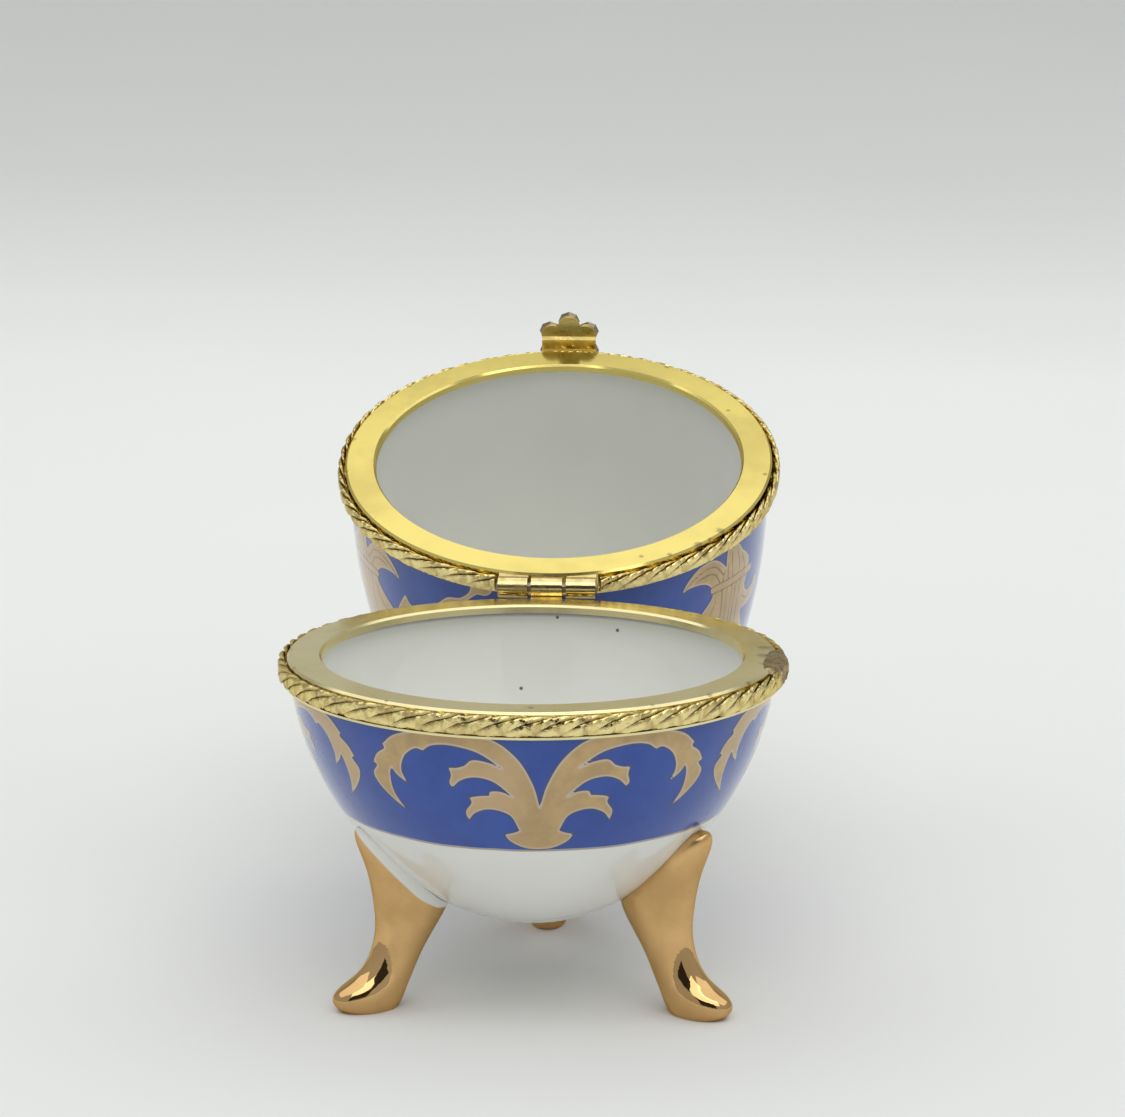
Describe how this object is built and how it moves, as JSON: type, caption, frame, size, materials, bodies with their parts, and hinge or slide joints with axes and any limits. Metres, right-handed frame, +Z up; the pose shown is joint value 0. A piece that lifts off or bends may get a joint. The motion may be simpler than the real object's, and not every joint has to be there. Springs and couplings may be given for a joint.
{
  "type": "porcelain trinket box",
  "caption": "Egg-shaped porcelain trinket box on gilded feet, standing open: blue and gold bands, brass rope-trimmed rims, a pinned back hinge and a jewelled flower clasp.",
  "frame": {"origin": "on the floor that the box stands on, under the middle of the open box's bounding box", "axes": "+Z up; +Y from the bowl towards the lid as it lies open, the longest extent; +X along the hinge pin, the shortest extent. The bowl's own upright axis stands 29.5 mm towards -Y from the origin"},
  "size_m": [0.0564, 0.1152, 0.0652],
  "materials": {
    "porcelain": "clear glossy glaze over white porcelain, with a cobalt blue band and gold scroll painting outside",
    "gilded_porcelain": "burnished gold lustre over porcelain, mirror-bright on the toes",
    "cement": "matt dental-type cement, hidden under the collar",
    "collar_brass": "polished brass, a little dulled",
    "rope_brass": "bright rolled brass with dark recesses",
    "solder": "dull lumpy solder, tarnished brown-grey",
    "hinge_brass": "polished brass tube and plate",
    "pin_steel": "plain drawn wire",
    "clasp_brass": "gold-washed brass, tarnished at the back",
    "crystal": "cut glass with a foiled back"
  },
  "bodies": {
    "bowl": {"bowl_shell": "porcelain", "leg_front_left": "gilded_porcelain", "leg_front_right": "gilded_porcelain", "leg_rear": "gilded_porcelain", "bowl_cement": "cement", "bowl_bezel": "collar_brass", "bowl_rope_trim": "rope_brass", "bowl_rope_solder": "solder", "bowl_hinge_leaf": "hinge_brass", "bowl_hinge_knuckle": "hinge_brass", "hinge_pin": "pin_steel"},
    "lid": {"lid_shell": "porcelain", "lid_cement": "cement", "lid_bezel": "collar_brass", "lid_rope_trim": "rope_brass", "lid_hinge_leaf_left": "hinge_brass", "lid_hinge_leaf_right": "hinge_brass", "lid_hinge_knuckle_left": "hinge_brass", "lid_hinge_knuckle_right": "hinge_brass", "clasp_flower": "clasp_brass", "clasp_petal_stones": "crystal", "clasp_centre_stone": "crystal", "clasp_tongue": "clasp_brass"}
  },
  "joints": [
    {"name": "lid_hinge", "type": "hinge", "parent": "bowl", "child": "lid", "pos_m": [0, -0.00077, 0.03889], "axis": [1, 0, 0], "range_deg": [0, 158.4]}
  ]
}
